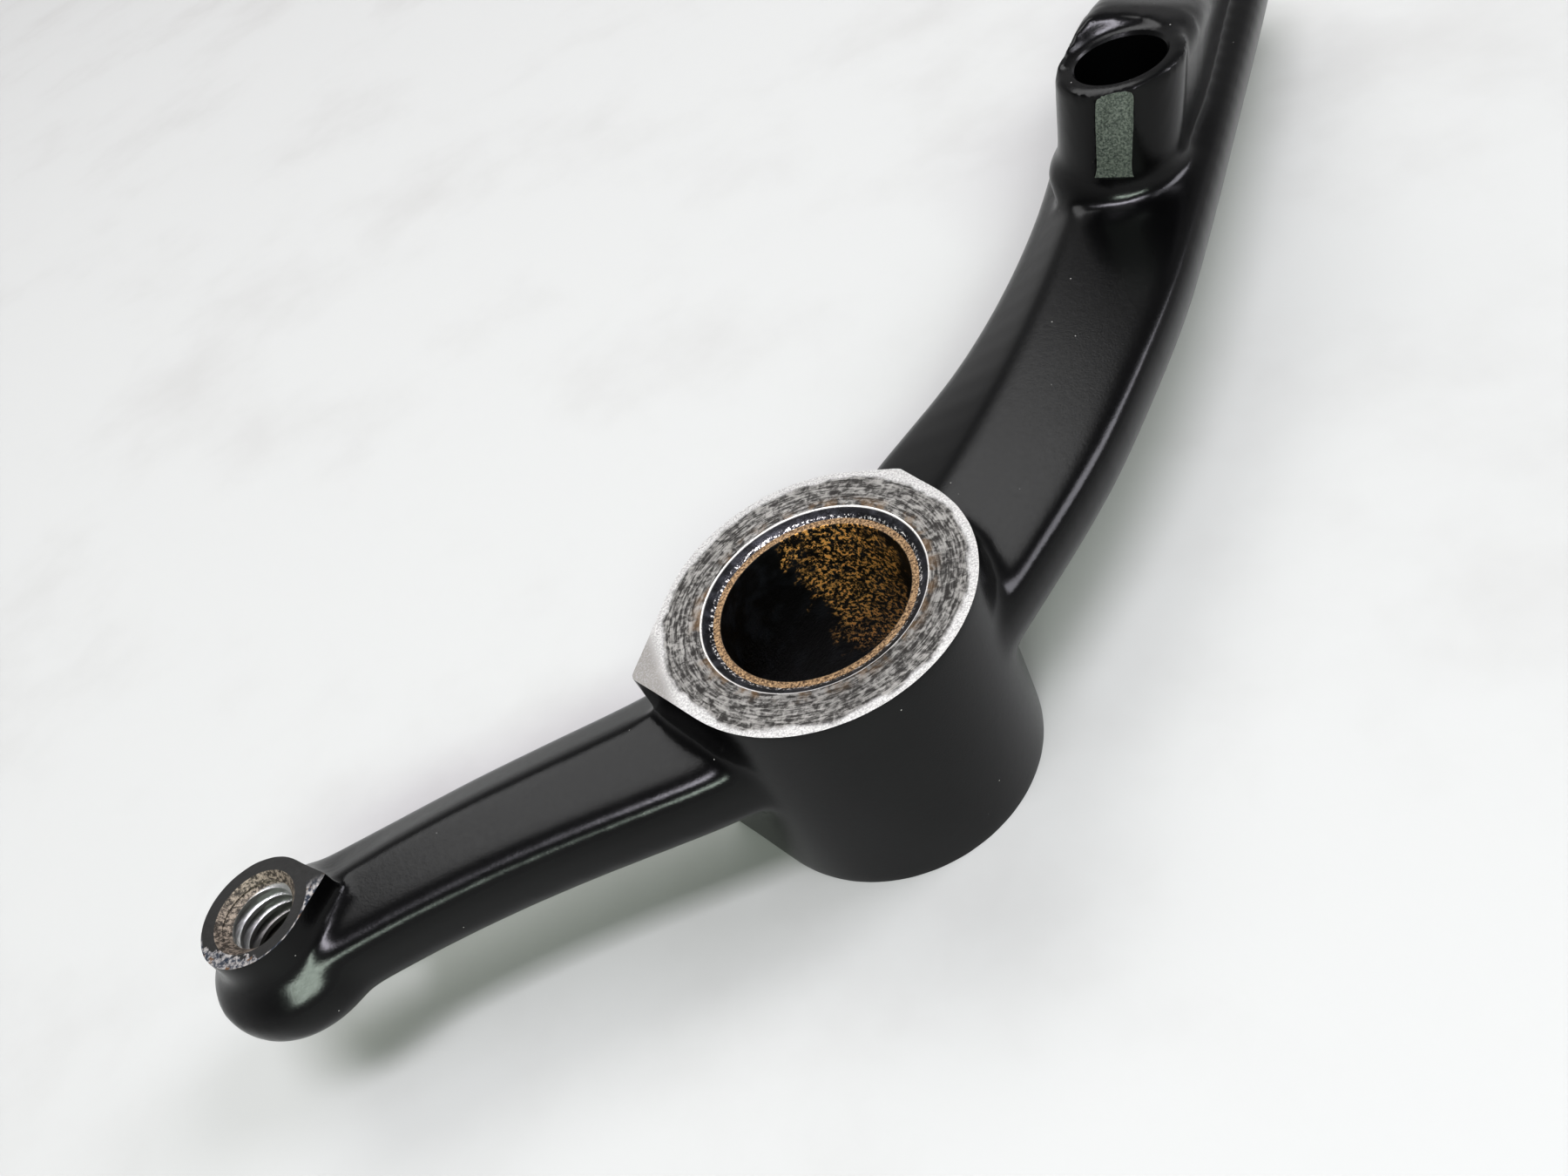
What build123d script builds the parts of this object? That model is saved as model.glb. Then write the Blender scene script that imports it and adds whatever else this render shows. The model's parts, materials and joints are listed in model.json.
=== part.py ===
from build123d import *
import os
from math import acos, cos, degrees, radians, sin, sqrt, tan

# A bare pivoting foot-control lever: one forging with a pressed bronze bush.
# Origin: on the pivot axis, halfway along the hub. +Z runs along the pivot axis to the machined
# face of the hub, and the short arm with its threaded hole lies along -X. The long arm leaves
# towards +X +Y.

# ---- Hub
hub_radius = 16.15
hub_height = 25.65
short_corner_stand = 2.8  # how far the pointed corner over the short arm stands out of the round wall
long_corner_stand = 0.7  # the same for the blunt corner over the long arm
short_corner_turn = -4.5  # degrees from the short arm's line
long_corner_turn = -9.0  # degrees from the long arm's line

# ---- Bush and its seat
bush_bore_radius = 9.525
bush_wall = 0.795
seat_chamfer = 1.13  # radial width of the chamfer at each end of the seat
seat_chamfer_depth = 0.65

# ---- Short arm: distances down from the machined face of the hub
short_arm_reach = 61.9  # pivot axis to the threaded hole
web_drop = 5.2  # to the ridge along the middle of both arms
floor_drop = 14.5  # to the flat underside of both arms
near_edge_drop = 6.2  # to the edge of the broad panel
far_edge_drop = 8.3  # to the edge of the narrow bevel
short_near_half = 6.8  # threaded hole's line to the panel side, at the waist
short_far_half = 8.8
short_ridge_offset = 2.2
edge_round = 2.2  # width of the rounded shoulders
edge_tuck = 0.77  # how much lower the middle of a shoulder is than the panel beside it
under_round = 3.5  # height of the rounded edge under the panel side of the short arm
under_share = 0.3  # share of that edge where its two slopes meet
# Along the short arm: share of its reach, and what is added to the near half, the ridge and the far half
short_arm_shape = (
    (0.00, 3.7, -2.2, 0.9),
    (0.25, 3.2, -1.0, -0.8),
    (0.36, 2.4, -0.9, -0.9),
    (0.50, 1.2, -0.3, -0.4),
    (0.65, 0.3, 0.2, 0.0),
    (0.81, 0.0, 0.0, 0.0),
    (1.00, 0.4, -1.6, 0.0),
)

# ---- Threaded boss at the end of the short arm
linkage_minor_radius = 3.3
linkage_mouth_radius = 4.5
linkage_mouth_depth = 1.2
linkage_face_drop = 2.6
linkage_face_radius = 5.95
linkage_corner_stand = 1.85  # spur that points back at the hub
linkage_bulb_radius = 9.3
linkage_neck_height = 3.2
linkage_neck_draft = 0.3  # radius gained from the face down to the foot of the neck
linkage_bulb_round = 3.5

# ---- Long arm: distances along its line, and across it with the outer, panel side negative
long_arm_angle = 46.0  # degrees from +X
long_arm_reach = 142.0  # pivot axis to the tip
long_arm_half = 11.35  # half the width at the waist
long_arm_middle = -9.45  # middle of the waist, across from the pivot axis
long_ridge_shift = 3.95  # ridge, from the middle of the waist
long_rim_height = 3.0  # upright rim on the outer side
tip_radius = 12.0
tip_chamfer = 1.3  # around its top edge
tip_middle = -2.75  # middle of the tip, across from the pivot axis
# Along the long arm: share of its reach, and what is added to the middle, the half width and the ridge shift
long_arm_shape = (
    (0.000, 7.85, 2.25, -3.95),
    (0.170, 3.20, 1.90, -2.60),
    (0.280, 0.75, 0.55, -0.95),
    (0.380, 0.00, 0.00, 0.00),
    (0.490, 0.65, -0.25, 0.45),
    (0.620, 2.50, 0.20, -0.30),
    (0.845, 5.70, 0.90, -1.70),
)

# ---- Bored boss on the long arm
boss_along = 73.7
boss_across = -8.3
boss_radius = 7.3
boss_lean = 11.0  # degrees, towards the outer rim
boss_rise = 9.5  # its own plane above the machined face of the hub
boss_bore_radius = 5.15
boss_bore_depth = 15.0  # from its own plane
boss_flare = 1.2  # radius added by the skirt at the foot of the boss
boss_root = 2.0  # how far the boss reaches down into the arm
spot_face_rise = 8.5  # flat face around the bore, above the machined face of the hub
spot_face_radius = 6.4
spot_face_draft = 45.0  # degrees, slope of the scooped wall behind it
land_width = 4.3  # narrow flat down the front of the boss
land_turn = -150.0  # degrees from the arm's line

# ---- Thick back, from the bored boss to the tip, leaning with the boss
# Along the arm: place, crest above the machined face of the hub, outer side, inner side
back_shape = (
    (73.7, 10.6, -15.5, -1.1),
    (86.0, 9.8, -15.3, -1.2),
    (104.0, 2.0, -13.6, -0.6),
    (130.0, -3.6, -11.2, 2.0),
)
back_round = 2.0  # width of its sloping shoulders

top = hub_height / 2
floor = top - floor_drop
bush_outer_radius = bush_bore_radius + bush_wall


def at_angle(reach, angle):
    """A point in plan at a distance from the pivot axis."""
    return (reach * cos(radians(angle)), reach * sin(radians(angle)))


def teardrop(radius, stand, angle):
    """A round outline drawn out to one corner, with sides tangent to the circle."""
    reach = radius + stand
    half = degrees(acos(radius / reach))
    wedge = Polygon(
        (0, 0),
        at_angle(radius, angle - half),
        at_angle(reach, angle),
        at_angle(radius, angle + half),
        align=None,
    )
    return Circle(radius) + wedge


def hub():
    outline = teardrop(hub_radius, short_corner_stand, 180 + short_corner_turn)
    outline += teardrop(hub_radius, long_corner_stand, long_arm_angle + long_corner_turn)
    return Pos(0, 0, -top) * extrude(outline, hub_height)


def seat():
    """The bore that takes the bush, chamfered at both ends."""
    mouth = bush_outer_radius + seat_chamfer
    profile = Polyline(
        (0, -top),
        (mouth, -top),
        (bush_outer_radius, -top + seat_chamfer_depth),
        (bush_outer_radius, top - seat_chamfer_depth),
        (mouth, top),
        (0, top),
        close=True,
    )
    return revolve(Plane.XZ * make_face(profile), Axis.Z)


def arm_section(along, near, ridge, far, near_wall):
    """One cross-section of an arm, square to it, with the panel side at the near edge.

    near_wall is the height of the upright side under the panel's edge. Below it the side turns under.
    """
    near_top = top - near_edge_drop
    turn = near_top - near_wall - floor
    points = (
        (near + edge_round, near_top + edge_tuck),
        (ridge, top - web_drop),
        (far - edge_round, top - far_edge_drop + edge_tuck),
        (far, top - far_edge_drop - edge_round / 2),
        (far - edge_round, floor + edge_tuck),
        (ridge, floor),
        (near + turn, floor),
        (near + turn * under_share, floor + turn * under_share),
        (near, near_top - near_wall),
        (near, near_top - edge_round / 2),
    )
    face = make_face(Polyline(*points, close=True))
    return Plane(origin=(along, 0, 0), x_dir=(0, 1, 0), z_dir=(1, 0, 0)) * face


def short_arm():
    """Narrows from the hub to a waist, then runs into the bulb of the threaded boss."""
    wall = floor_drop - near_edge_drop - under_round
    sections = []
    for share, near, ridge, far in short_arm_shape:
        near_edge = -short_near_half - near
        ridge_line = short_ridge_offset + ridge
        far_edge = short_far_half + far
        sections.append(arm_section(share * short_arm_reach, near_edge, ridge_line, far_edge, wall))
    # The sections stand along +X, so the arm is mirrored onto -X.
    return mirror(loft(sections, ruled=True), Plane.YZ)


def long_arm_edges(share):
    """Panel edge, ridge and bevel edge at a share of the reach, straight between the listed places."""
    rows = list(long_arm_shape)
    end = 1 - tip_radius / long_arm_reach
    rows.append((end, tip_middle - long_arm_middle, tip_radius - long_arm_half, -long_ridge_shift))
    for before, after in zip(rows, rows[1:]):
        if share <= after[0]:
            break
    part = (share - before[0]) / (after[0] - before[0])
    middle, half, ridge = (a + (b - a) * part for a, b in zip(before[1:], after[1:]))
    centre = long_arm_middle + middle
    width = long_arm_half + half
    return centre - width, centre + long_ridge_shift + ridge, centre + width


def long_arm():
    """A bowed arm with a ridge, a broad panel on the outer side and a rounded tip."""
    end = long_arm_reach - tip_radius
    sections = []
    for share in [row[0] for row in long_arm_shape] + [end / long_arm_reach]:
        near, ridge, far = long_arm_edges(share)
        sections.append(arm_section(share * long_arm_reach, near, ridge, far, long_rim_height))
    tip = Pos(end, tip_middle, floor) * extrude(Circle(tip_radius), floor_drop - near_edge_drop)
    tip = chamfer(tip.edges().group_by(Axis.Z)[0], edge_round)
    tip = chamfer(tip.edges().group_by(Axis.Z)[-1], tip_chamfer)
    return Rot(0, 0, long_arm_angle) * (loft(sections, ruled=True) + tip + thick_back())


def thick_back():
    """The tall back of the arm behind the bored boss, falling to the height of the tip."""
    foot = top - near_edge_drop - edge_round
    web = top - web_drop
    slope = tan(radians(boss_lean))
    sections = []
    for along, rise, outer, inner in back_shape:
        crest = top + rise
        shoulder = crest - back_round
        points = (
            (outer + (web - foot) * slope, foot),
            (outer - (shoulder - web) * slope, shoulder),
            (outer + back_round - (crest - web) * slope, crest),
            (inner - back_round - (crest - web) * slope, crest),
            (inner - (shoulder - web) * slope, shoulder),
            (inner + (web - foot) * slope, foot),
        )
        face = make_face(Polyline(*points, close=True))
        sections.append(Plane(origin=(along, 0, 0), x_dir=(0, 1, 0), z_dir=(1, 0, 0)) * face)
    return loft(sections, ruled=True)


def linkage_boss():
    """The bulb at the end of the short arm, with a necked, machined face."""
    face = top - linkage_face_drop
    shoulder = face - linkage_neck_height
    neck = linkage_face_radius + linkage_neck_draft
    bulb_top = shoulder - (linkage_bulb_radius - neck)
    with BuildLine() as profile:
        Line((0, face), (linkage_face_radius, face))
        Line((linkage_face_radius, face), (neck, shoulder))
        Line((neck, shoulder), (linkage_bulb_radius, bulb_top))
        Line((linkage_bulb_radius, bulb_top), (linkage_bulb_radius, floor + linkage_bulb_round))
        RadiusArc(
            (linkage_bulb_radius, floor + linkage_bulb_round),
            (linkage_bulb_radius - linkage_bulb_round, floor),
            linkage_bulb_round,
        )
        Line((linkage_bulb_radius - linkage_bulb_round, floor), (0, floor))
        Line((0, floor), (0, face))
    bulb = revolve(Plane.XZ * make_face(profile.line), Axis.Z)
    corner = teardrop(linkage_face_radius, linkage_corner_stand, 0)
    corner_height = face - (top - web_drop - edge_round)
    bulb += Pos(0, 0, face - corner_height) * extrude(corner, corner_height)
    return Pos(-short_arm_reach, 0, 0) * bulb


def linkage_hole():
    """A through hole at the thread's minor size, opened at the mouth by a shallow cone."""
    face = top - linkage_face_drop
    hole = Pos(0, 0, floor) * extrude(Circle(linkage_minor_radius), face - floor)
    mouth = Pos(0, 0, face - linkage_mouth_depth / 2) * Cone(
        linkage_minor_radius, linkage_mouth_radius, linkage_mouth_depth
    )
    return Pos(-short_arm_reach, 0, 0) * (hole + mouth)


def boss_middle(rise):
    """The place on the bore's axis at a height above the machined face of the hub."""
    across = boss_across - (rise + web_drop) * tan(radians(boss_lean))
    return Rot(0, 0, long_arm_angle) * Pos(boss_along, across, top + rise)


def boss_frame():
    """The bored boss's own plane, square to the bore, with its Z along the bore."""
    return boss_middle(boss_rise) * Rot(boss_lean, 0, 0)


def bored_boss():
    """A leaning round boss with a flared foot, faced level with the hub."""
    foot = (boss_rise + web_drop) / cos(radians(boss_lean))
    spare = boss_radius * tan(radians(boss_lean))
    column = Pos(0, 0, -foot - boss_root) * extrude(Circle(boss_radius), foot + boss_root + spare)
    skirt = Pos(0, 0, -foot) * Cone(boss_radius + boss_flare, boss_radius, boss_flare * 2)
    land_depth = boss_radius - sqrt(boss_radius**2 - (land_width / 2) ** 2)
    beside = Pos(2 * boss_radius - land_depth, 0, spare - foot / 2) * Box(
        2 * boss_radius, 2 * boss_radius, foot - boss_flare * 2
    )
    block = 4 * boss_radius
    above = boss_middle(spot_face_rise) * Pos(0, 0, block / 2) * Box(block, block, block)
    return boss_frame() * (column + skirt - Rot(0, 0, land_turn) * beside) - above


def bored_boss_hole():
    """A blind bore with a flat face around its mouth, scooped out of the back behind it."""
    scoop_height = spot_face_radius / 2
    scoop_top = spot_face_radius + scoop_height * tan(radians(spot_face_draft))
    scoop = Pos(0, 0, scoop_height / 2) * Cone(spot_face_radius, scoop_top, scoop_height)
    bore = Pos(0, 0, -boss_bore_depth) * extrude(Circle(boss_bore_radius), boss_bore_depth)
    return boss_middle(spot_face_rise) * scoop + boss_frame() * bore


def lever():
    body = hub() + short_arm() + long_arm() + linkage_boss() + bored_boss()
    return body - seat() - linkage_hole() - bored_boss_hole()


def pivot_bush():
    """Sits flush with the inner ends of the seat's chamfers."""
    length = hub_height - 2 * seat_chamfer_depth
    ring = Circle(bush_outer_radius) - Circle(bush_bore_radius)
    return Pos(0, 0, -length / 2) * extrude(ring, length)


os.makedirs("parts", exist_ok=True)
export_step(lever(), "parts/lever.step")
export_step(pivot_bush(), "parts/pivot_bush.step")
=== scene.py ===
# %% [markdown]
# # A black foot-control lever with a pressed bronze bush
# The real object is one aluminium forging, powder coated black, with a bronze bush
# pressed into its hub. This lesson gives the forging its soft roots and rounded
# shoulders, cuts the machined faces crisp, threads the linkage hole, and then makes
# each finish out of nodes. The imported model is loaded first: it is the fixed frame
# that every place below comes from.

# %% Load the fixed frame
import json
from math import acos, atan2, cos, degrees, hypot, pi, radians, sin, tan

import bpy
from mathutils import Matrix, Quaternion, Vector


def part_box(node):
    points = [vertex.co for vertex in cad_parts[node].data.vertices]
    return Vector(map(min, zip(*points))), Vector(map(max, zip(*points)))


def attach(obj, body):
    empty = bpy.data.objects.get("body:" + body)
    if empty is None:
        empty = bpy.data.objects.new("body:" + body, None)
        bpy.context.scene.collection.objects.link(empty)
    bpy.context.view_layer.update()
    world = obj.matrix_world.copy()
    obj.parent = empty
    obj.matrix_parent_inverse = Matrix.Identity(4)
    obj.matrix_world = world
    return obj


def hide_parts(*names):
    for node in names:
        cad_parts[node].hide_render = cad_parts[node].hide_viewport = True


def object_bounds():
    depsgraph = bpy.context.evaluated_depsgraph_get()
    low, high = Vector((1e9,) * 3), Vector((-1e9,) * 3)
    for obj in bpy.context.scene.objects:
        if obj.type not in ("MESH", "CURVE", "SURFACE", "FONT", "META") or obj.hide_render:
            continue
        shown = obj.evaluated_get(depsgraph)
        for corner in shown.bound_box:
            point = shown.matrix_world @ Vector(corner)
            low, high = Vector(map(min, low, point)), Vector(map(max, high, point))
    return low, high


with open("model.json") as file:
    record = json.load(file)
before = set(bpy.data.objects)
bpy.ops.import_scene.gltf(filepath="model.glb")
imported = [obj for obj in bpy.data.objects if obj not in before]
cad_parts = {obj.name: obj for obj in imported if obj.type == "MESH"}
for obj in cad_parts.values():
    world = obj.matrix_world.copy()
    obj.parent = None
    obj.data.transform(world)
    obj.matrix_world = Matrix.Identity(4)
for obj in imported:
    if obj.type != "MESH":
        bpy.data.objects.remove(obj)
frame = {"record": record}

cad_low, cad_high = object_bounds()
mounts = {m["name"]: m for m in frame["record"]["mounts"]}
print("cad box", [round(v, 5) for v in cad_low], [round(v, 5) for v in cad_high])

# %% [markdown]
# ## Measures
# A forging drawing gives heights from one machined face, so the same is done here:
# every height is a distance below the hub's top face. Lengths are in millimetres,
# and MM turns them into Blender's metres where an operator wants them.

# %% Measures from the frame
MM = 0.001
TINY = 0.001
hub_top = mounts["hub_top_face"]["pos_m"][2] / MM
hub_bottom = mounts["hub_bottom_face"]["pos_m"][2] / MM
bush_bore_radius = mounts["pivot_bore"]["dims"]["r_mm"]
bush_outer_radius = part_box("pivot_bush")[1].x / MM
bush_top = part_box("pivot_bush")[1].z / MM
linkage_at = Vector(mounts["linkage_thread"]["pos_m"]) / MM
web_top = hub_top - 5.2  # ridge along both arms
near_top = hub_top - 6.2  # edge of the broad panel
far_top = hub_top - 8.3  # edge of the narrow bevel
floor = hub_top - 14.5  # flat underside of both arms
linkage_face = hub_top - 2.6
spot_face = hub_top + 8.5  # flat around the bored boss's mouth
print("hub from", hub_bottom, "to", hub_top, "and bush out to", round(bush_outer_radius, 3))

# %% [markdown]
# ## Small helpers
# Blender's operators work on what is selected. By hand you would click; in code the
# selection is made by place, so `pick` asks a question of every vertex or face
# and selects those that answer yes. The other helpers go into edit mode, run one
# operator and come out again.

# %% Helpers for picking and shaping


def only(obj):
    """Deselects everything, then selects obj and makes it active."""
    if bpy.context.mode != "OBJECT":
        bpy.ops.object.mode_set(mode="OBJECT")
    bpy.ops.object.select_all(action="DESELECT")
    obj.select_set(True)
    bpy.context.view_layer.objects.active = obj


def name_new(name):
    """Names the object that was just added and puts its place in its mesh."""
    obj = bpy.context.view_layer.objects.active
    obj.name = name
    obj.data.name = name
    bpy.ops.object.transform_apply(location=True, rotation=True, scale=True)
    return obj


def pick(obj, test, kind="vertices"):
    """Selects the vertices, edges or faces whose place in millimetres passes the test."""
    only(obj)
    mesh = obj.data
    bpy.ops.object.mode_set(mode="EDIT")
    bpy.ops.mesh.select_mode(type={"vertices": "VERT", "edges": "EDGE", "faces": "FACE"}[kind])
    bpy.ops.mesh.select_all(action="DESELECT")
    bpy.ops.object.mode_set(mode="OBJECT")
    if kind == "vertices":
        found = [v for v in mesh.vertices if test(v.co / MM)]
    elif kind == "faces":
        found = [f for f in mesh.polygons if test(f.center / MM)]
    else:
        ends = [v.co / MM for v in mesh.vertices]
        found = [e for e in mesh.edges if all(test(ends[i]) for i in e.vertices)]
    for item in found:
        item.select = True
    bpy.ops.object.mode_set(mode="EDIT")


def move(obj, test, offset):
    """Moves the vertices that pass the test by an offset in millimetres."""
    pick(obj, test)
    bpy.ops.transform.translate(value=Vector(offset) * MM)
    bpy.ops.object.mode_set(mode="OBJECT")


def pull_face(obj, test, up, grow=1.0):
    """Extrudes the faces that pass the test along Z, then scales the new end."""
    pick(obj, test, "faces")
    bpy.ops.mesh.extrude_region_move(TRANSFORM_OT_translate={"value": (0, 0, up * MM)})
    bpy.ops.transform.resize(value=(grow, grow, 1))
    bpy.ops.object.mode_set(mode="OBJECT")


def round_edges(obj, test, width, segments=5):
    """Bevels the edges whose two ends pass the test."""
    pick(obj, test, "edges")
    bpy.ops.mesh.bevel(offset=width * MM, segments=segments, profile=0.5)
    bpy.ops.object.mode_set(mode="OBJECT")


def post(name, radius, low, high, sides=96):
    """A round post about the Z axis from one height to another."""
    bpy.ops.mesh.primitive_cylinder_add(
        vertices=sides,
        radius=radius * MM,
        depth=(high - low) * MM,
        location=(0, 0, (high + low) / 2 * MM),
    )
    return name_new(name)


def block(name, low, high):
    """A box between two corners, in millimetres."""
    low, high = Vector(low), Vector(high)
    bpy.ops.mesh.primitive_cube_add(size=1, location=(low + high) / 2 * MM, scale=(high - low) * MM)
    return name_new(name)


def put(obj, matrix):
    """Carries a finished shape to its place and applies it to the mesh."""
    only(obj)
    obj.matrix_world = matrix
    bpy.ops.object.transform_apply(location=True, rotation=True, scale=True)


def cut(obj, cutter):
    """Takes the cutter's shape out of obj and throws the cutter away."""
    only(obj)
    change = obj.modifiers.new("cut", "BOOLEAN")
    change.operation = "DIFFERENCE"
    change.object = cutter
    change.solver = "EXACT"
    bpy.ops.object.modifier_apply(modifier=change.name)
    bpy.data.objects.remove(cutter)
    return len(obj.data.polygons)


bpy.ops.object.select_all(action="DESELECT")

# %% [markdown]
# ## The hub
# The hub is a thick round wall whose outline is drawn out to a sharp corner over each
# arm, where the die met the web. It starts as a cylinder. The ring vertices inside
# each corner's two tangent points are merged and pulled out to the corner, so the
# sides stay tangent. It stands taller than the finished hub, because the machining
# cut later on should slice a clean outline through it, as the facing cutter did.

# %% The hub with its two corners
hub_radius = 16.15
spare = 1.6  # stock left on every face that is machined later
short_corner = 175.5  # degrees from +X
short_corner_stand = 2.8  # out of the round wall
long_corner = 37.0
long_corner_stand = 0.7
hub = post("hub", hub_radius, hub_bottom - spare, hub_top + spare, sides=128)


def draw_corner(obj, radius, stand, angle, heights):
    """Merges the ring between the tangent points and pulls it out to a corner."""
    half = degrees(acos(radius / (radius + stand)))
    target = Vector(((radius + stand) * cos(radians(angle)), (radius + stand) * sin(radians(angle))))
    for height in heights:

        def inside(p):
            turn = (degrees(atan2(p.y, p.x)) - angle + 180) % 360 - 180
            return abs(p.z - height) < TINY and abs(turn) < half

        pick(obj, inside)
        bpy.ops.object.mode_set(mode="OBJECT")
        chosen = [v.co / MM for v in obj.data.vertices if v.select]
        middle = sum(chosen, Vector()) / len(chosen)
        bpy.ops.object.mode_set(mode="EDIT")
        bpy.ops.mesh.merge(type="CENTER")
        offset = Vector((target.x - middle.x, target.y - middle.y, 0))
        bpy.ops.transform.translate(value=offset * MM)
        bpy.ops.object.mode_set(mode="OBJECT")


hub_heights = (hub_bottom - spare, hub_top + spare)
draw_corner(hub, hub_radius, short_corner_stand, short_corner, hub_heights)
draw_corner(hub, hub_radius, long_corner_stand, long_corner, hub_heights)
hub_reach = -min(v.co.x for v in hub.data.vertices) / MM
print("hub:", len(hub.data.vertices), "vertices, reach", round(hub_reach, 2))

# %% [markdown]
# ## The arms
# Each arm is a bar with a ridge, a broad panel on the near side and a narrow bevel on
# the far side. It could be lofted from sections, but by hand the quick way is a
# short block: bisect it for the ridge, lower its two sides, bevel the shoulders,
# and then extrude its end again and again, nudging the near side, ridge and far
# side to where the next station of the arm wants them. The stations are a few
# measured places, and the values between them follow a smooth curve.

# %% Stations and the bar maker
shoulder = 2.2  # width of the rounded shoulders


def between(rows, along):
    """Smooth values between measured rows, with slopes taken from the neighbours."""
    last = len(rows) - 1
    i = max(k for k in range(last) if rows[k][0] <= along or k == 0)
    a, b = rows[i], rows[i + 1]
    before, after = rows[max(i - 1, 0)], rows[min(i + 2, last)]
    span = b[0] - a[0]
    t = (along - a[0]) / span
    values = []
    for k in range(1, len(a)):
        start = (b[k] - before[k]) / (b[0] - before[0]) * span
        end = (after[k] - a[k]) / (after[0] - a[0]) * span
        curve = (2 * t**3 - 3 * t**2 + 1) * a[k] + (t**3 - 2 * t**2 + t) * start
        curve += (3 * t**2 - 2 * t**3) * b[k] + (t**3 - t**2) * end
        values.append(curve)
    return values


def stations_of(rows, count):
    """The rows again, evenly spaced and smooth: along, near side, ridge, far side."""
    first, reach = rows[0][0], rows[-1][0] - rows[0][0]
    places = [first + reach * k / count for k in range(count + 1)]
    return [(x, *between(rows, x)) for x in places]


def bar(name, stations, tops, under, rounds):
    """A bar along +X: a block, bisected, shouldered, and drawn out through its stations.

    tops are the heights of the near side, ridge and far side. rounds are the widths of the
    near upper, near lower, far upper and far lower edges.
    """
    along, near, ridge, far = stations[0]
    near_height, ridge_height, far_height = tops
    obj = block(name, (along - 0.5, near, under), (along, far, ridge_height))
    pick(obj, lambda p: True, "faces")
    bpy.ops.mesh.bisect(plane_co=(0, ridge * MM, 0), plane_no=(0, 1, 0))
    bpy.ops.object.mode_set(mode="OBJECT")
    high = under + 0.5 * (ridge_height - under)
    move(obj, lambda p: p.z > high and p.y < ridge - 1, (0, 0, near_height - ridge_height))
    move(obj, lambda p: p.z > high and p.y > ridge + 1, (0, 0, far_height - ridge_height))
    near_upper, near_lower, far_upper, far_lower = rounds
    round_edges(obj, lambda p: p.y < ridge - 1 and p.z > high - 2, near_upper)
    round_edges(obj, lambda p: p.y > ridge + 1 and p.z > high - 2, far_upper)
    round_edges(obj, lambda p: p.y < near + TINY and p.z < under + TINY, near_lower)
    round_edges(obj, lambda p: p.y > far - TINY and p.z < under + TINY, far_lower)
    for (x0, near0, ridge0, far0), (x1, near1, ridge1, far1) in zip(stations, stations[1:]):
        pick(obj, lambda p: abs(p.x - x0) < TINY, "faces")
        bpy.ops.mesh.extrude_region_move(TRANSFORM_OT_translate={"value": ((x1 - x0) * MM, 0, 0)})
        bpy.ops.object.mode_set(mode="OBJECT")
        end = lambda p: abs(p.x - x1) < TINY
        move(obj, lambda p: end(p) and p.y < ridge0 - TINY, (0, near1 - near0, 0))
        move(obj, lambda p: end(p) and p.y > ridge0 + TINY, (0, far1 - far0, 0))
        move(obj, lambda p: end(p) and abs(p.y - ridge0) < TINY, (0, ridge1 - ridge0, 0))
    return obj


# %% The short arm
# Along the arm, then the places of its near side, ridge and far side.
short_rows = (
    (0.0, -10.7, 0.0, 9.9),
    (15.5, -10.2, 1.2, 8.2),
    (22.3, -9.4, 1.3, 8.1),
    (31.0, -8.2, 1.9, 8.6),
    (40.2, -7.3, 2.4, 9.0),
    (50.1, -7.0, 2.2, 9.0),
    (61.9, -7.4, 0.6, 9.0),
)
arm_tops = (near_top, web_top, far_top)
short_rounds = (2.3, 3.3, shoulder, shoulder)
short_arm = bar("short_arm", stations_of(short_rows, 14), arm_tops, floor, short_rounds)
only(short_arm)
bpy.ops.transform.mirror(constraint_axis=(True, False, False), center_override=(0, 0, 0))
bpy.ops.object.transform_apply(location=True, rotation=True, scale=True)
pick(short_arm, lambda p: True, "faces")
bpy.ops.mesh.normals_make_consistent(inside=False)
bpy.ops.object.mode_set(mode="OBJECT")
print("short arm:", len(short_arm.data.vertices), "vertices, x from",
      round(min(v.co.x for v in short_arm.data.vertices) / MM, 1))

# %% The long arm
long_arm_angle = 46.0  # degrees from +X
tip_radius = 12.0
tip_middle = (130.0, -2.75)
long_rows = (
    (0.0, -15.4, -1.6, 12.2),
    (24.1, -19.7, -4.9, 7.2),
    (39.8, -20.8, -5.7, 3.4),
    (54.0, -21.0, -5.5, 2.1),
    (69.6, -20.1, -4.4, 2.5),
    (88.0, -18.7, -3.3, 4.8),
    (120.0, -16.1, -1.5, 8.6),
    (130.0, -14.75, -1.3, 9.25),
)
long_rounds = (1.6, 4.8, shoulder, shoulder)
long_arm = bar("long_arm", stations_of(long_rows, 30), arm_tops, floor, long_rounds)
tip = post("tip", tip_radius, floor, near_top)
round_edges(tip, lambda p: p.z < floor + TINY, shoulder)
round_edges(tip, lambda p: p.z > near_top - TINY, 1.4)
put(tip, Matrix.Translation((tip_middle[0] * MM, tip_middle[1] * MM, 0)))
print("long arm:", len(long_arm.data.vertices), "vertices")

# %% [markdown]
# ## The two bosses
# The threaded boss is a bulb that closes in to a necked, faced top with one spur that
# points back at the hub. The bored boss leans towards the arm's outer rim, has a
# flared foot, and is cut off level at its spot face. Both start as a cylinder that
# is extruded and scaled ring by ring.

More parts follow.
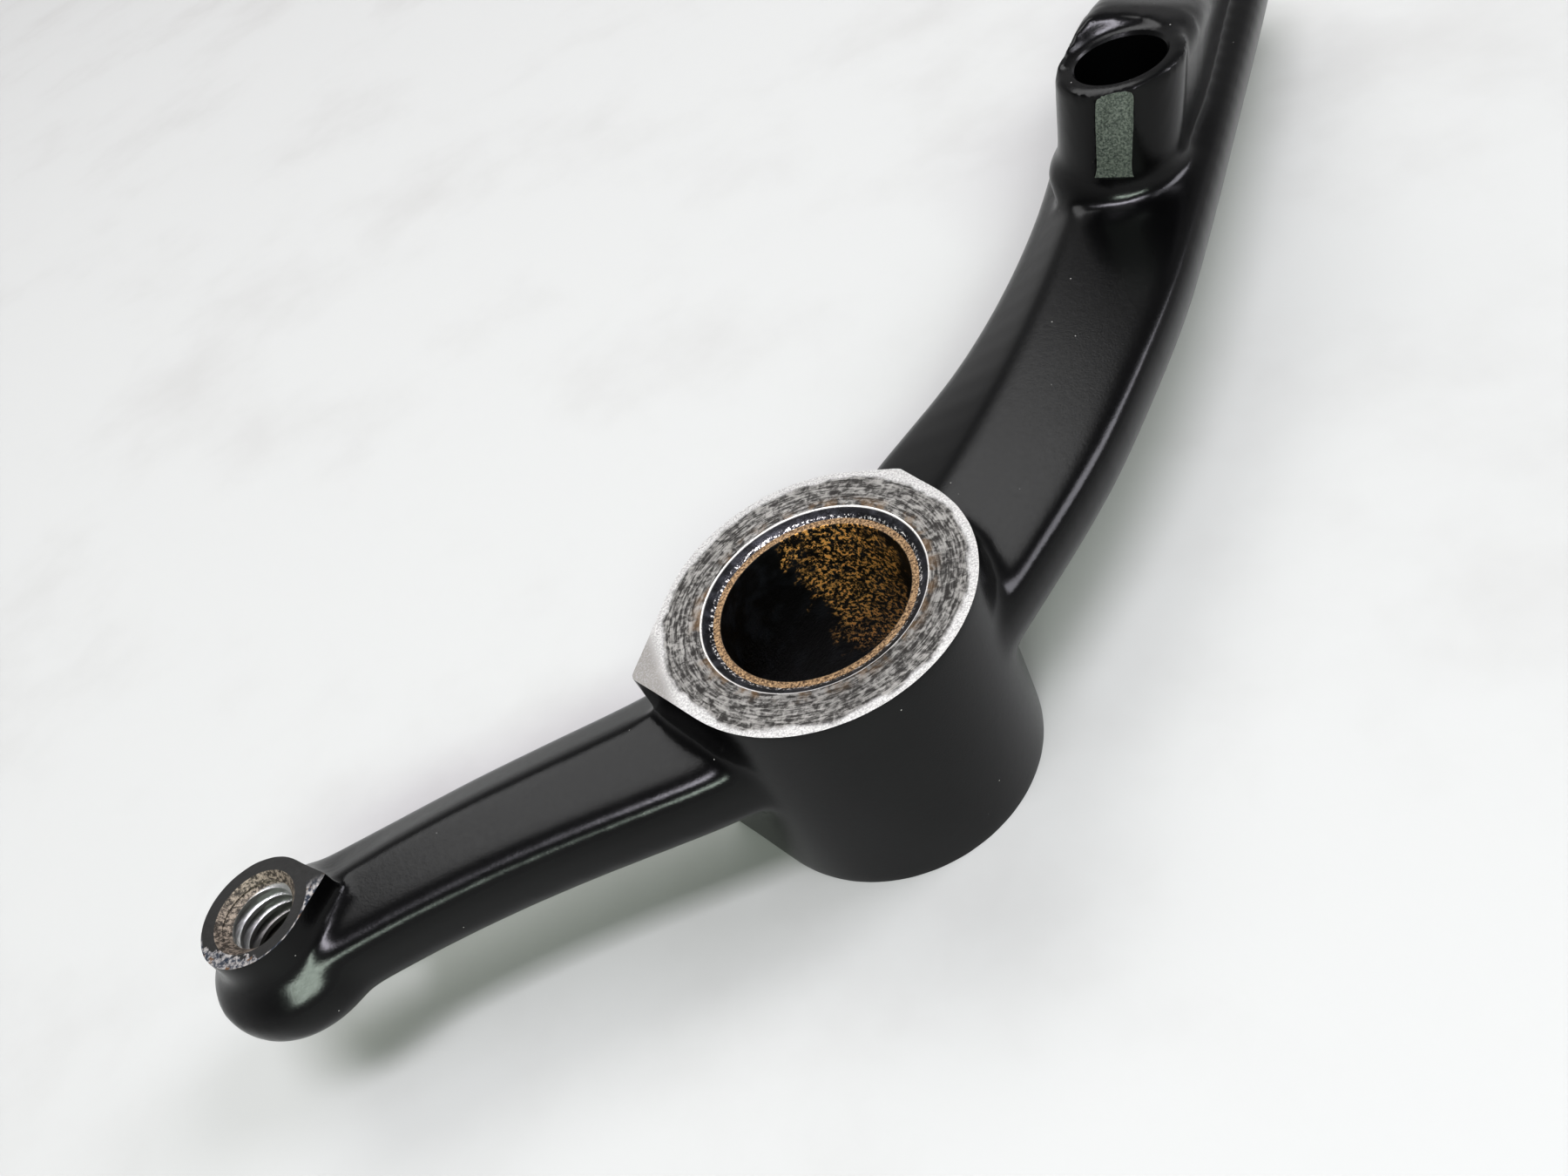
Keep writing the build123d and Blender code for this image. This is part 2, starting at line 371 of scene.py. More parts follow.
# %% The threaded boss
neck = 6.25
face_radius = 5.95
bulb_radius = 9.3
neck_foot = linkage_face - 3.2
flare_foot = neck_foot - (bulb_radius - neck)
bulb = post("bulb", bulb_radius, floor, flare_foot)
pull_face(bulb, lambda p: p.z > flare_foot - TINY, neck_foot - flare_foot, neck / bulb_radius)
pull_face(bulb, lambda p: p.z > neck_foot - TINY, linkage_face + spare - neck_foot, face_radius / neck)
round_edges(bulb, lambda p: p.z < floor + TINY, 3.5)
spur_foot = web_top - 2.2
spur_stand = 1.95
spur_heights = (spur_foot, linkage_face + spare)
spur = post("spur", face_radius, *spur_heights)
draw_corner(spur, face_radius, spur_stand, 0.0, spur_heights)
linkage_place = Matrix.Translation((linkage_at.x * MM, linkage_at.y * MM, 0))
for piece in (bulb, spur):
    put(piece, linkage_place)
print("threaded boss: face", round(linkage_face, 3), "bulb to x", round(linkage_at.x - bulb_radius, 2))

# %% The bored boss
boss_radius = 7.3
boss_bore_radius = mounts["boss_bore"]["dims"]["r_mm"]
boss_axis = Vector(mounts["boss_bore"]["axis"])
boss_bore_length = mounts["boss_bore"]["dims"]["length_mm"]
mount_gap = 0.15  # the record's bore stops this short of the boss's own plane
bore_middle = Vector(mounts["boss_bore"]["pos_m"]) / MM
rim_middle = bore_middle + boss_axis * (boss_bore_length / 2 + mount_gap)
arm_way = Vector((cos(radians(long_arm_angle)), sin(radians(long_arm_angle)), 0))
boss_side = boss_axis.cross(arm_way).normalized()
boss_way = boss_side.cross(boss_axis)
boss_turn = Matrix((boss_way, boss_side, boss_axis)).transposed().to_4x4()
boss_place = Matrix.Translation(rim_middle * MM) @ boss_turn

foot = -15.0  # of the boss, down its own axis
flare = 2.4  # height of its flared skirt
flare_radius = 8.6
boss_root = 2.0  # how far it reaches down into the arm
boss = post("boss", boss_radius, foot + flare, 2.0)
pull_face(boss, lambda p: p.z < foot + flare + TINY, -flare, flare_radius / boss_radius)
pull_face(boss, lambda p: p.z < foot + TINY, -boss_root, 1.0)
put(boss, boss_place)
pick(boss, lambda p: True, "faces")
bpy.ops.mesh.bisect(
    plane_co=(0, 0, spot_face * MM), plane_no=(0, 0, 1), use_fill=True, clear_outer=True
)
bpy.ops.object.mode_set(mode="OBJECT")
print("bored boss: rim middle at", [round(v, 2) for v in rim_middle])

# %% [markdown]
# ## The thick back
# Behind the bored boss the arm stands a little taller than the boss's level mouth and
# falls away to the tip. It is one more bar, made in the boss's own leaning frame so
# that its flanks run on from the boss's wall. Its crest is then lowered station by
# station, and a cone opens a scoop in it behind the mouth.

# %% The thick back and its scoop
back_root = 3.0  # how far it reaches down into the arm
back_rows = (
    (0.0, -7.15, 0.0, 7.0),
    (12.3, -6.95, 0.1, 6.9),
    (30.3, -5.3, 1.2, 7.5),
    (56.3, -2.9, 3.6, 10.0),
)
crest_rows = ((0.0, -0.1), (12.3, -0.9), (30.3, -8.2), (56.3, -13.4))
crest = crest_rows[0][1]
back_stations = stations_of(back_rows, 16)
back_rounds = (2.0, 0.4, 2.0, 0.4)
back = bar("back", back_stations, (crest, crest, crest), foot - back_root, back_rounds)
crest_band = 4.0  # everything this close under the crest goes down with it
for station in back_stations:
    drop = between(crest_rows, station[0])[0] - crest
    in_crest = lambda p: abs(p.x - station[0]) < TINY and p.z > crest - crest_band
    move(back, in_crest, (0, 0, drop))
put(back, boss_place)

spot_radius = 6.4
scoop_height = 5.0
scoop_lip = 0.1
spot_middle = rim_middle - boss_axis * ((rim_middle.z - spot_face) / boss_axis.z)
spot_place = Matrix.Translation(Vector((spot_middle.x, spot_middle.y, spot_face)) * MM)
scoop = post("scoop", spot_radius, 0, scoop_lip)
opened = (spot_radius + scoop_height) / spot_radius
pull_face(scoop, lambda p: p.z > scoop_lip - TINY, scoop_height, opened)
put(scoop, spot_place)
print("scooped:", cut(back, scoop), "faces, level at", round(spot_face, 2))

# %% [markdown]
# ## One skin for the forging
# A forging has no seams: every root has a fillet and every shoulder is soft. The volumes
# are joined and remeshed on a fine voxel grid, which keeps only their common skin.
# Smoothing then rounds roots and shoulders together. A vertex group holds back the
# places that are sharper on the real one: the hub's corners, the spur and the
# bored boss's rim.

# %% Join, remesh and soften
voxel = 0.5
turn_arm = Matrix.Rotation(radians(long_arm_angle), 4, "Z")
for piece in (long_arm, tip):
    put(piece, turn_arm)
only(hub)
for piece in (short_arm, long_arm, tip, back, bulb, spur, boss):
    piece.select_set(True)
bpy.ops.object.join()
forging = bpy.context.view_layer.objects.active
forging.name = "lever_forging"
change = forging.modifiers.new("skin", "REMESH")
change.mode = "VOXEL"
change.voxel_size = voxel * MM
bpy.ops.object.modifier_apply(modifier=change.name)
print("one skin:", len(forging.data.polygons), "faces")


def corner_at(stand, angle):
    """The tip of one of the hub's corners, in plan."""
    reach = hub_radius + stand
    return Vector((reach * cos(radians(angle)), reach * sin(radians(angle))))


# Each corner with how far around it the smoothing is held back.
corner_places = (
    (corner_at(short_corner_stand, short_corner), 3.0),
    (corner_at(long_corner_stand, long_corner), 2.0),
)
spur_tip = Vector((linkage_at.x + face_radius + 1.9, linkage_at.y))
rim_reach = 10.5  # around the bored boss's axis


def hold_back(p):
    """How much of the smoothing a place takes, from 0 to 1."""
    share = 1.0
    flat = Vector((p.x, p.y))
    for corner, reach in corner_places:
        if p.z > web_top - 3 or p.z < floor:
            share = min(share, max(0.04, ((flat - corner).length - 0.5) / reach))
    if p.z > spur_foot:
        share = min(share, max(0.15, ((flat - spur_tip).length - 0.4) / 3))
    local = p - rim_middle
    up = local.dot(boss_axis)
    off = (local - boss_axis * up).length
    if off < rim_reach:
        share = min(share, max(0.22, min(1, (-up - 4) / 6)))
    return max(0, min(1, share))


def soften(obj, passes):
    """Smooths obj, with less at the places that hold_back names."""
    group = obj.vertex_groups.new(name="soft")
    for v in obj.data.vertices:
        group.add([v.index], hold_back(v.co / MM), "REPLACE")
    smoothing = obj.modifiers.new("soft", "SMOOTH")
    smoothing.factor = 0.5
    smoothing.iterations = passes
    smoothing.vertex_group = group.name
    only(obj)
    bpy.ops.object.modifier_apply(modifier=smoothing.name)
    obj.vertex_groups.clear()


passes = 34
soften(forging, passes)
print("softened box", [round(v / MM, 2) for v in forging.dimensions])

# %% [markdown]
# ## Machining
# Only now are the machined faces cut, as in the real shop: the hub is faced top and
# bottom, the bored boss gets its narrow land and its bore, the seat for the bush is
# bored and chamfered, and the linkage boss is faced, countersunk and tapped. Each
# cut is a boolean with a simple cutter that reaches well past the skin, so no two
# faces lie on each other.

# %% Face the hub and the threaded boss
wide, narrow, tall = 30, 13, 6  # cutter sizes, well clear of each face
cut(forging, block("cutter", (-wide, -wide, hub_top), (wide, wide, hub_top + tall)))
cut(forging, block("cutter", (-wide, -wide, hub_bottom - tall), (wide, wide, hub_bottom)))
low = (linkage_at.x - narrow, -narrow, linkage_face)
cut(forging, block("cutter", low, (linkage_at.x + narrow, narrow, linkage_face + tall)))
print("faced:", len(forging.data.polygons), "faces")

# %% A narrow land down the front of the bored boss
land_width = 4.3
land_turn = -170.0  # degrees from the arm's line
land_foot = foot + 3.0
land_depth = boss_radius - (boss_radius**2 - (land_width / 2) ** 2) ** 0.5
land_place = boss_place @ Matrix.Rotation(radians(land_turn), 4, "Z")
beside = block("beside", (boss_radius - land_depth, -8, land_foot), (boss_radius + 8, 8, 4))
put(beside, land_place)
print("land cut:", cut(forging, beside), "faces")

# %% Bore the boss and ease its mouth
bore = post("bore", boss_bore_radius, foot, 6)
put(bore, boss_place)
cut(forging, bore)
mouth_radius = 5.0  # half a millimetre down the mouth, which opens at 45 degrees
mouth_depth = 0.5
mouth = post("mouth", mouth_radius, -mouth_depth, mouth_depth)
opened = 1 + 2 * mouth_depth / mouth_radius
pick(mouth, lambda p: p.z > 0)
bpy.ops.transform.resize(value=(opened, opened, 1))
bpy.ops.object.mode_set(mode="OBJECT")
put(mouth, spot_place)
print("boss bored:", cut(forging, mouth), "faces")

# %% Bore and chamfer the seat
seat_chamfer = 1.13
seat = post("seat", bush_outer_radius, -bush_top, bush_top)
slope = seat_chamfer / (hub_top - bush_top)
over = hub_top - bush_top + 1
opened = 1 + slope * over / bush_outer_radius
for sign in (1, -1):
    pull_face(seat, lambda p: p.z * sign > bush_top - TINY, over * sign, opened)
print("seat cut:", cut(forging, seat), "faces")

# %% Countersink and tap the linkage hole
minor_radius = mounts["linkage_thread"]["dims"]["r_mm"]
major_radius = 3.97
pitch = 1.411
sink_depth = 1.2
sink_radius = 4.5
sink_foot = linkage_face - sink_depth
below = 2.0  # how far the drill and the tap run out under the arm
hole = post("hole", minor_radius, floor - below, sink_foot)
opened = (minor_radius + 2 * (sink_radius - minor_radius)) / minor_radius
pull_face(hole, lambda p: p.z > sink_foot - TINY, sink_depth * 2, opened)
put(hole, linkage_place)
cut(forging, hole)

bpy.ops.object.select_all(action="DESELECT")
crest_half = 0.09  # half width of the groove at its bottom, and at its open side
mouth_half = 0.59
inside_hole = 0.2  # how far the tap's inner side lies inside the hole
bpy.ops.mesh.primitive_plane_add(size=2 * MM, rotation=(radians(90), 0, 0))
tap = name_new("tap")
move(tap, lambda p: p.x > 0, (major_radius - 1, 0, 0))
move(tap, lambda p: p.x < 0, (minor_radius - inside_hole + 1, 0, 0))
outer = lambda p: p.x > major_radius - TINY
for sign in (1, -1):
    move(tap, lambda p: outer(p) and p.z * sign > 0, (0, 0, sign * (crest_half - 1)))
    move(tap, lambda p: not outer(p) and p.z * sign > 0, (0, 0, sign * (mouth_half - 1)))
pick(tap, lambda p: True, "faces")
bpy.ops.mesh.delete(type="ONLY_FACE")
bpy.ops.object.mode_set(mode="OBJECT")
only(tap)
turns = 10
change = tap.modifiers.new("turns", "SCREW")
change.screw_offset = pitch * MM
change.iterations = turns
change.steps = change.render_steps = 40
bpy.ops.object.modifier_apply(modifier=change.name)
pick(tap, lambda p: True, "faces")
bpy.ops.mesh.select_mode(type="VERT")
bpy.ops.mesh.select_all(action="SELECT")
bpy.ops.mesh.fill_holes(sides=0)
bpy.ops.mesh.select_all(action="SELECT")
bpy.ops.mesh.normals_make_consistent(inside=False)
bpy.ops.object.mode_set(mode="OBJECT")
put(tap, linkage_place @ Matrix.Translation((0, 0, (floor - below) * MM)))
print("tapped:", cut(forging, tap), "faces")

# %% [markdown]
# ## The bush
# A sintered bronze bush is pressed in until it sits level with the foot of the chamfer.
# It could be spun from a profile, but boring a post gives the same tube with fewer
# steps. Its mouth has a tiny worn lead-in. Its grainy rim is left to the finish.

# %% The bronze bush
bush_sides = 192
lead_in = 0.16
bush = post("bronze_bush", bush_outer_radius, -bush_top, bush_top, sides=bush_sides)
cutter = post("cutter", bush_bore_radius, -bush_top - 2, bush_top + 2, sides=bush_sides)
cut(bush, cutter)
inner = lambda p: hypot(p.x, p.y) < bush_bore_radius + 0.05 and abs(p.z) > bush_top - TINY
round_edges(bush, inner, lead_in, segments=2)
print("bush:", len(bush.data.polygons), "faces")

# %% [markdown]
# ## Finishes
# Each finish is a small tree of nodes. They all start from Object coordinates, turned
# into millimetres by a Mapping node, so a grain of 4 means four bumps per millimetre.

# %% Helpers for finishes


class Finish:
    """One material with short words for the nodes that this object needs."""

    def __init__(self, name, centre=(0, 0, 0)):
        self.mat = bpy.data.materials.new(name)
        self.mat.use_nodes = True
        self.tree = self.mat.node_tree
        self.shader = self.tree.nodes["Principled BSDF"]
        coords = self.tree.nodes.new("ShaderNodeTexCoord")
        to_mm = self.tree.nodes.new("ShaderNodeMapping")
        to_mm.inputs["Scale"].default_value = (1 / MM,) * 3
        to_mm.inputs["Location"].default_value = [-v for v in centre]
        self.join(coords.outputs["Object"], to_mm.inputs["Vector"])
        self.place = to_mm.outputs["Vector"]

    def join(self, start, end):
        self.tree.links.new(start, end)

    def feed(self, value, socket):
        if isinstance(value, bpy.types.NodeSocket):
            self.join(value, socket)
        else:
            socket.default_value = value

    def noise(self, scale, detail=2.0, rough=0.5, place=None, warp=0.0):
        node = self.tree.nodes.new("ShaderNodeTexNoise")
        node.inputs["Scale"].default_value = scale
        node.inputs["Detail"].default_value = detail
        node.inputs["Roughness"].default_value = rough
        node.inputs["Distortion"].default_value = warp
        self.join(place or self.place, node.inputs["Vector"])
        return node.outputs["Fac"]

    def cells(self, scale):
        node = self.tree.nodes.new("ShaderNodeTexVoronoi")
        node.feature = "F1"
        node.inputs["Scale"].default_value = scale
        self.join(self.place, node.inputs["Vector"])
        return node.outputs["Distance"]

    def maths(self, operation, a, b=0.0, c=0.0):
        node = self.tree.nodes.new("ShaderNodeMath")
        node.operation = operation
        for value, socket in zip((a, b, c), node.inputs):
            self.feed(value, socket)
        return node.outputs[0]

    def ramp(self, value, low, high):
        """0 below low and 1 above high, or the other way round."""
        node = self.tree.nodes.new("ShaderNodeMapRange")
        node.interpolation_type = "SMOOTHSTEP"
        turned = low > high
        self.join(value, node.inputs["Value"])
        node.inputs["From Min"].default_value = min(low, high)
        node.inputs["From Max"].default_value = max(low, high)
        node.inputs["To Min"].default_value = 1.0 if turned else 0.0
        node.inputs["To Max"].default_value = 0.0 if turned else 1.0
        return node.outputs["Result"]

    def mix(self, share, a, b):
        node = self.tree.nodes.new("ShaderNodeMix")
        node.data_type = "RGBA"
        self.feed(share, node.inputs["Factor"])
        for value, socket in ((a, node.inputs[6]), (b, node.inputs[7])):
            self.feed((*value, 1.0) if isinstance(value, tuple) else value, socket)
        return node.outputs[2]

    def between(self, share, a, b):
        """A plain number that goes from a to b."""
        node = self.tree.nodes.new("ShaderNodeMapRange")
        self.join(share, node.inputs["Value"])
        node.inputs["To Min"].default_value = a
        node.inputs["To Max"].default_value = b
        return node.outputs["Result"]

    def axes(self):
        node = self.tree.nodes.new("ShaderNodeSeparateXYZ")
        self.join(self.place, node.inputs["Vector"])
        return node.outputs["X"], node.outputs["Y"], node.outputs["Z"]

    def reach(self):
        """Distance from the finish's own axis."""
        x, y = self.axes()[:2]
        squares = self.maths("ADD", self.maths("MULTIPLY", x, x), self.maths("MULTIPLY", y, y))
        return self.maths("SQRT", squares)

    def bump(self, height, depth, under=None):
        node = self.tree.nodes.new("ShaderNodeBump")
        node.inputs["Strength"].default_value = 1.0
        node.inputs["Distance"].default_value = depth * MM
        self.join(height, node.inputs["Height"])
        if under:
            self.join(under, node.inputs["Normal"])
        return node.outputs["Normal"]

    def end(self, colour, roughness, metallic, normal=None):
        """Feeds the shader and gives back the material."""
        self.join(colour, self.shader.inputs["Base Color"])
        self.feed(roughness, self.shader.inputs["Roughness"])
        self.feed(metallic, self.shader.inputs["Metallic"])
        if normal:
            self.join(normal, self.shader.inputs["Normal"])
        return self.mat


# %% [markdown]
# ## Black powder coat
# Powder coat flows out into a skin that is almost smooth: a slow orange peel with a fine
# grain on top, which breaks a highlight into sparkling dots. A workshop has also
# left a little dust and a few pale specks on it.

# %% Powder coat
coat = Finish("satin_powder_coat")
peel = coat.bump(coat.noise(1.1, 2.0), 0.007)
grain = coat.bump(coat.noise(4.5, 2.0, 0.6), 0.009, under=peel)
cloud = coat.ramp(coat.noise(0.06, 3.0), 0.35, 0.65)
black = coat.mix(cloud, (0.0012, 0.0012, 0.0014), (0.0028, 0.0028, 0.0030))
speck_spots = coat.ramp(coat.cells(0.55), 0.055, 0.035)
speck_where = coat.ramp(coat.noise(0.3, 1.0), 0.56, 0.60)
specks = coat.maths("MULTIPLY", speck_spots, speck_where)
colour = coat.mix(specks, black, (0.35, 0.34, 0.32))
coat.shader.inputs["Specular IOR Level"].default_value = 0.36
powder_coat = coat.end(colour, coat.between(coat.noise(2.2, 3.0), 0.17, 0.27), 0.0, grain)
print("finish:", powder_coat.name, len(coat.tree.nodes), "nodes")

# %% [markdown]
# ## The machined faces
# The hub's face is bare aluminium. Around the bore it is scuffed dark in rings by the
# washer that turned on it, with brown stain close to the bush, and outside the
# washer a bright margin is left.

# %% Machined face
bare = Finish("machined_face")
x, y = bare.axes()[:2]
r = bare.reach()
rings_place = bare.tree.nodes.new("ShaderNodeCombineXYZ")
bare.join(bare.maths("MULTIPLY", r, 3.0), rings_place.inputs["X"])
bare.join(bare.maths("MULTIPLY", x, 0.35), rings_place.inputs["Y"])
bare.join(bare.maths("MULTIPLY", y, 0.35), rings_place.inputs["Z"])
rings = bare.noise(1.6, 4.0, 0.6, place=rings_place.outputs[0])
mottle = bare.noise(1.3, 6.0, 0.65, warp=0.6)
wobble = bare.maths("MULTIPLY_ADD", bare.noise(0.35, 3.0), 1.8, -0.9)
edge = bare.maths("ADD", r, wobble)
worn = bare.ramp(edge, 15.5, 14.9)
scuff = bare.maths("ADD", bare.maths("MULTIPLY", rings, 0.5), bare.maths("MULTIPLY", mottle, 0.5))
grime, rubbed = (0.030, 0.027, 0.025), (0.28, 0.27, 0.255)
dark_scuff = bare.mix(bare.ramp(scuff, 0.42, 0.60), grime, rubbed)
fine = bare.noise(5.0, 3.0, 0.7)
bright = bare.mix(bare.ramp(fine, 0.3, 0.7), (0.30, 0.295, 0.29), (0.56, 0.55, 0.54))
face_colour = bare.mix(worn, bright, dark_scuff)
stain_blots = bare.ramp(bare.noise(0.5, 4.0, 0.6), 0.45, 0.62)
stain_where = bare.maths("MULTIPLY", bare.ramp(r, 13.0, 11.4), stain_blots)
face_colour = bare.mix(bare.maths("MULTIPLY", stain_where, 0.7), face_colour, (0.14, 0.085, 0.040))
sand = bare.maths("MULTIPLY", bare.ramp(x, -15.0, -16.6), bare.ramp(fine, 0.35, 0.55))
face_colour = bare.mix(bare.maths("MULTIPLY", sand, 0.6), face_colour, (0.10, 0.085, 0.07))
face_bump = bare.bump(scuff, 0.03, under=bare.bump(fine, 0.02))
rough, metal_share = bare.between(worn, 0.42, 0.5), bare.between(worn, 0.75, 0.45)
machined = bare.end(face_colour, rough, metal_share, face_bump)
print("finish:", machined.name, len(bare.tree.nodes), "nodes")

# %% [markdown]
# ## The oily chamfer
# Old grease has gathered in the chamfer around the bush and turned it nearly black.
# Its outer lip is a thin pale ring, and the pale dots where it meets the bush are painted glints.
# All three are rings, so the distance from the pivot axis says where each one goes.

# %% Oily chamfer
oily = Finish("oily_chamfer")
r = oily.reach()
lip_line = oily.ramp(r, 11.22, 11.38)
grit = oily.noise(3.2, 3.0, 0.7)
painted_glints = oily.maths("MULTIPLY", oily.ramp(r, 10.75, 10.55), oily.ramp(grit, 0.53, 0.60))
thick, thin = (0.006, 0.006, 0.008), (0.035, 0.035, 0.042)
film = oily.mix(oily.ramp(oily.noise(0.8, 4.0), 0.4, 0.7), thick, thin)
# The pale colour makes the thin ring on the lip and the painted glints at the bush.
film = oily.mix(oily.maths("MAXIMUM", lip_line, painted_glints), film, (0.62, 0.60, 0.58))
oily_bump = oily.bump(grit, 0.05)
chamfer_finish = oily.end(film, oily.between(oily.noise(1.0, 3.0), 0.18, 0.4), 0.5, oily_bump)
print("finish:", chamfer_finish.name, len(oily.tree.nodes), "nodes")

# %% [markdown]
# ## The threaded boss's face
# The linkage boss's face was painted with the rest and is chipped on one side down to
# bare, stained metal. The chip is everything past a ragged line on that side. The rim
# is given the bare metal's colour in a thin band on its -Y side.

# %% Worn linkage face
linkage_centre = (linkage_at.x, linkage_at.y, linkage_face)
worn_face = Finish("worn_linkage_face", linkage_centre)
x, y = worn_face.axes()[:2]
r = worn_face.reach()
chip_noise = worn_face.noise(0.9, 5.0, 0.6)
chip_side = (-0.55, -0.83)
toward = worn_face.maths(
    "ADD", worn_face.maths("MULTIPLY", x, chip_side[0]), worn_face.maths("MULTIPLY", y, chip_side[1])
)
ragged = worn_face.maths("ADD", toward, worn_face.maths("MULTIPLY_ADD", chip_noise, 4.0, -2.0))
chip = worn_face.ramp(ragged, 4.3, 4.5)
rim_line = worn_face.maths("MULTIPLY", worn_face.ramp(r, 5.72, 5.82), worn_face.ramp(y, 0.5, -1.0))
paint = worn_face.mix(worn_face.noise(1.2, 4.0), (0.006, 0.0057, 0.0054), (0.016, 0.015, 0.014))
dull, shiny = (0.035, 0.045, 0.065), (0.42, 0.40, 0.39)
metal = worn_face.mix(worn_face.ramp(worn_face.noise(1.8, 4.0, 0.7), 0.4, 0.62), dull, shiny)
stain = worn_face.ramp(worn_face.noise(1.1, 4.0, 0.7), 0.56, 0.64)
metal = worn_face.mix(stain, metal, (0.17, 0.095, 0.05))
bare_share = worn_face.maths("MAXIMUM", chip, rim_line)
link_colour = worn_face.mix(bare_share, paint, metal)
link_bump = worn_face.bump(bare_share, 0.06, under=worn_face.bump(chip_noise, 0.05))
link_rough = worn_face.between(bare_share, 0.42, 0.36)
link_metal = worn_face.maths("MULTIPLY", bare_share, 0.7)
linkage_finish = worn_face.end(link_colour, link_rough, link_metal, link_bump)
print("finish:", linkage_finish.name, len(worn_face.tree.nodes), "nodes")

# %% [markdown]
# ## The thread
# Inside the hole the metal is bare: gritty in the countersink and silver on the upper turns.
# Further down it turns darker, which is painted shade. The height below the face says which is which.

# %% Bare thread
thread = Finish("bare_thread", linkage_centre)
z = thread.axes()[2]
in_sink = thread.ramp(z, -1.35, -1.15)
gritty = thread.noise(2.6, 5.0, 0.75)
grit = thread.mix(thread.ramp(gritty, 0.42, 0.60), (0.035, 0.028, 0.022), (0.26, 0.22, 0.18))
silver = thread.mix(thread.noise(1.5, 4.0), (0.42, 0.42, 0.41), (0.68, 0.68, 0.67))
# Painted shade: the turns darken towards the bottom of the hole.
painted_shade_ramp = thread.ramp(z, -6.5, -2.0)
silver = thread.mix(painted_shade_ramp, (0.10, 0.095, 0.085), silver)
thread_colour = thread.mix(in_sink, silver, grit)
thread_rough, thread_metal = thread.between(in_sink, 0.30, 0.6), thread.between(in_sink, 0.9, 0.35)
thread_finish = thread.end(thread_colour, thread_rough, thread_metal, thread.bump(gritty, 0.05))
print("finish:", thread_finish.name, len(thread.tree.nodes), "nodes")

# %% [markdown]
# ## Sintered bronze
# Sintered bronze is pressed from powder, so its rim is granular and tan. Its bore is
# black with grease, apart from a patch towards the long arm where the shaft has
# worn through to golden grains. The patch is everything past a ragged line.

# %% Sintered bronze
bronze = Finish("worn_bronze")
x, y, z = bronze.axes()
r = bronze.reach()
granules = bronze.noise(4.2, 4.0, 0.75)
pits, grains = (0.065, 0.036, 0.019), (0.44, 0.31, 0.185)
rim_colour = bronze.mix(bronze.ramp(granules, 0.36, 0.64), pits, grains)
in_bore = bronze.ramp(r, 9.66, 9.56)
thick, thin = (0.003, 0.003, 0.003), (0.016, 0.018, 0.022)
grease = bronze.mix(bronze.ramp(bronze.noise(0.5, 4.0), 0.45, 0.7), thick, thin)
patch_side = (0.60, 0.80)
toward = bronze.maths(
    "ADD", bronze.maths("MULTIPLY", x, patch_side[0]), bronze.maths("MULTIPLY", y, patch_side[1])
)
ragged = bronze.maths("MULTIPLY_ADD", bronze.noise(0.45, 4.0, 0.6), 9.0, -4.5)
ragged_foot = bronze.maths("MULTIPLY_ADD", bronze.noise(0.3, 3.0), 8.0, -4.0)
past_edge = bronze.ramp(bronze.maths("ADD", toward, ragged), 7.4, 8.8)
above_foot = bronze.ramp(bronze.maths("ADD", z, ragged_foot), -7.5, -4.5)
patch = bronze.maths("MULTIPLY", past_edge, above_foot)
glitter = bronze.ramp(bronze.noise(2.4, 3.0, 0.75), 0.49, 0.58)
gold = bronze.maths("MULTIPLY", patch, glitter)
bore_colour = bronze.mix(gold, grease, (0.95, 0.54, 0.18))
bronze_colour = bronze.mix(in_bore, rim_colour, bore_colour)
bronze_bump = bronze.bump(granules, 0.08, under=bronze.bump(bronze.noise(1.6, 3.0), 0.1))
bronze_finish = bronze.end(bronze_colour, bronze.between(in_bore, 0.5, 0.3), 0.6, bronze_bump)
print("finish:", bronze_finish.name, len(bronze.tree.nodes), "nodes")

# %% [markdown]
# ## The land's painted highlight
# The flat down the front of the bored boss is grainy and greyish green, and duller than
# the coat beside it. Its greyish green is a painted highlight on the boss's front.

# %% The land's painted highlight
land = Finish("painted_highlight_land")
land_grain = land.noise(3.6, 4.0, 0.75)
# The greyish green grain is a painted highlight. It stands in for a stripe of light on the boss.
land_highlight_colour = land.mix(land.ramp(land_grain, 0.35, 0.65), (0.045, 0.055, 0.048), (0.20, 0.22, 0.19))
land_highlight_finish = land.end(land_highlight_colour, 0.45, 0.1, land.bump(land_grain, 0.04))
print("finish:", land_highlight_finish.name, len(land.tree.nodes), "nodes")

# %% [markdown]
# ## Where each finish goes
# The forging gets one material slot for each finish, and its faces are picked by place:
# flat on the hub's end, inside the seat, on the linkage face, inside its hole or on
# the land. Whatever is left keeps its coat.

# %% Assign finishes to the forging
finishes = (powder_coat, machined, chamfer_finish, linkage_finish, thread_finish, land_highlight_finish)
COAT, BARE, OILY, WORN, THREAD, LAND = range(len(finishes))
for mat in finishes:
    forging.data.materials.append(mat)
land_way = land_place.to_3x3().col[0]
square_on = 0.99  # how nearly a face has to point the way it should
close = 0.02


def finish_of(face):
    """The slot number for a face, by its place and the way it points."""
    p, n = face.center / MM, face.normal
    r = hypot(p.x, p.y)
    if r < hub_radius + 4 and abs(abs(p.z) - hub_top) < close / 2 and abs(n.z) > square_on:
        return BARE
    if r < bush_outer_radius + seat_chamfer + close:
        return OILY
    off = hypot(p.x - linkage_at.x, p.y - linkage_at.y)
    if off < bulb_radius and abs(p.z - linkage_face) < close / 2 and n.z > square_on:
        return WORN
    if off < sink_radius + 0.05 and p.z < linkage_face:
        return THREAD if p.z > floor + close else COAT
    at = p - rim_middle
    from_land = at.dot(land_way) - boss_radius + land_depth
    if at.length < 18 and abs(from_land) < 0.03 and n.dot(land_way) > square_on:
        return LAND
    return COAT


